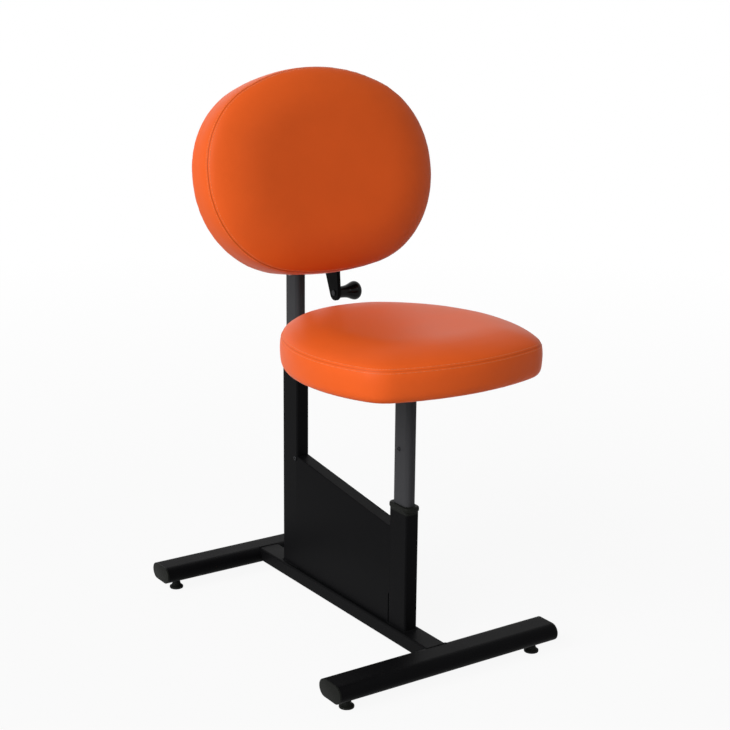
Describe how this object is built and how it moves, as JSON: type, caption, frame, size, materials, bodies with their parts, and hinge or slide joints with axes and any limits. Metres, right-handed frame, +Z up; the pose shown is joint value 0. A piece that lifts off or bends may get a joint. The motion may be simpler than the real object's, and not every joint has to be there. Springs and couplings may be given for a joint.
{
  "type": "tattoo client chair",
  "caption": "Armless client chair: padded oval seat and tilted oval backrest on telescopic posts over a flat tubular base, raised and lowered together by a hand crank behind the backrest.",
  "frame": {"origin": "on the floor under the middle of the whole chair's box", "axes": "+Z is up, the sitter faces -Y, +X is to the sitter's left, the side that carries the crank"},
  "size_m": [0.45, 0.672, 0.9585],
  "materials": {
    "powder_coat": "satin",
    "grey_tube": "satin",
    "black_plastic": "matte",
    "bearing_plastic": "satin",
    "steel": "satin",
    "black_fastener": "satin",
    "lift_nut": "satin",
    "knob": "gloss",
    "leatherette": "satin",
    "plywood": "matte",
    "dust_cloth": "matte"
  },
  "bodies": {
    "frame": {"front_foot_bar": "powder_coat", "rear_foot_bar": "powder_coat", "base_rail": "powder_coat", "foot_bar_end_caps": "black_plastic", "levelling_rivet_nuts": "steel", "front_outer_tube": "powder_coat", "rear_outer_tube": "powder_coat", "boxed_panel": "powder_coat", "front_guide_collar": "black_plastic", "rear_guide_collar": "black_plastic", "screw_foot_bearings": "bearing_plastic", "seat_screw_steady": "bearing_plastic", "back_screw_steady": "bearing_plastic", "steady_screw": "black_fastener", "cross_shaft_bushes": "bearing_plastic"},
    "cross_drive": {"cross_shaft": "steel", "cross_shaft_gears": "steel"},
    "seat_screw": {"seat_lift_screw": "steel", "seat_screw_gear": "steel"},
    "back_screw": {"back_lift_screw": "steel", "back_screw_gear": "steel"},
    "seat_carriage": {"seat_cushion": "leatherette", "seat_board": "plywood", "seat_dust_cover": "dust_cloth", "seat_plate": "powder_coat", "seat_bolts": "black_fastener", "seat_inner_tube": "grey_tube", "seat_stop_block": "bearing_plastic", "seat_stop_screw": "black_fastener", "seat_lift_nut": "lift_nut", "seat_lower_glide": "bearing_plastic"},
    "back_carriage": {"back_cushion": "leatherette", "back_board": "plywood", "back_rear_panel": "black_plastic", "back_board_bolts": "black_fastener", "back_bracket": "powder_coat", "back_bracket_bolts": "black_fastener", "back_inner_tube": "grey_tube", "back_tube_cap": "black_plastic", "back_lift_nut": "lift_nut", "back_lower_glide": "bearing_plastic", "drive_shaft_bearing": "bearing_plastic", "crank_bushes": "bearing_plastic"},
    "drive": {"drive_shaft": "steel", "drive_pinion": "steel"},
    "crank": {"crank_shaft": "steel", "crank_retaining_ring": "steel", "crank_bevel_wheel": "steel", "crank_arm": "powder_coat", "crank_knob_axle": "black_fastener"},
    "knob": {"crank_knob": "knob"},
    "foot_front_right": {"levelling_foot_front_right": "black_plastic"},
    "foot_front_left": {"levelling_foot_front_left": "black_plastic"},
    "foot_rear_right": {"levelling_foot_rear_right": "black_plastic"},
    "foot_rear_left": {"levelling_foot_rear_left": "black_plastic"}
  },
  "joints": [
    {"name": "back_height", "type": "slide", "parent": "frame", "child": "back_carriage", "axis": [0, 0, 1], "range_m": [-0.055, 0.045]},
    {"name": "seat_height", "type": "slide", "parent": "frame", "child": "seat_carriage", "axis": [0, 0, 1], "range_m": [-0.055, 0.045]},
    {"name": "crank_turn", "type": "hinge", "parent": "back_carriage", "child": "crank", "pos_m": [0, 0.188, 0.602], "axis": [1, 0, 0], "range_deg": [-1237.6, 1012.6]},
    {"name": "knob_spin", "type": "hinge", "parent": "crank", "child": "knob", "pos_m": [0.08, 0.1759, 0.55349], "axis": [1, 0, 0], "continuous": true},
    {"name": "drive_shaft_turn", "type": "hinge", "parent": "back_carriage", "child": "drive", "pos_m": [0, 0.188, 0.5], "axis": [0, 0, 1], "range_deg": [-2475.1, 2025.1]},
    {"name": "back_screw_turn", "type": "hinge", "parent": "frame", "child": "back_screw", "pos_m": [0, 0.188, 0.1], "axis": [0, 0, 1], "range_deg": [-2475.1, 2025.1]},
    {"name": "cross_shaft_turn", "type": "hinge", "parent": "frame", "child": "cross_drive", "pos_m": [0, 0, 0.0733], "axis": [0, 1, 0], "range_deg": [-2025.1, 2475.1]},
    {"name": "seat_screw_turn", "type": "hinge", "parent": "frame", "child": "seat_screw", "pos_m": [0, -0.152, 0.1], "axis": [0, 0, 1], "range_deg": [-2025.1, 2475.1]},
    {"name": "foot_turn_front_right", "type": "hinge", "parent": "frame", "child": "foot_front_right", "pos_m": [-0.188, -0.267, 0], "axis": [0, 0, 1], "continuous": true},
    {"name": "foot_turn_front_left", "type": "hinge", "parent": "frame", "child": "foot_front_left", "pos_m": [0.188, -0.267, 0], "axis": [0, 0, 1], "continuous": true},
    {"name": "foot_turn_rear_right", "type": "hinge", "parent": "frame", "child": "foot_rear_right", "pos_m": [-0.188, 0.306, 0], "axis": [0, 0, 1], "continuous": true},
    {"name": "foot_turn_rear_left", "type": "hinge", "parent": "frame", "child": "foot_rear_left", "pos_m": [0.188, 0.306, 0], "axis": [0, 0, 1], "continuous": true}
  ],
  "couplings": [
    {"joint": "seat_height", "follows": "back_height", "ratio": 1},
    {"joint": "crank_turn", "follows": "back_height", "rad_per_m": 392.7},
    {"joint": "drive_shaft_turn", "follows": "back_height", "rad_per_m": 785.4},
    {"joint": "back_screw_turn", "follows": "back_height", "rad_per_m": 785.4},
    {"joint": "cross_shaft_turn", "follows": "back_height", "rad_per_m": -785.4},
    {"joint": "seat_screw_turn", "follows": "back_height", "rad_per_m": -785.4}
  ]
}
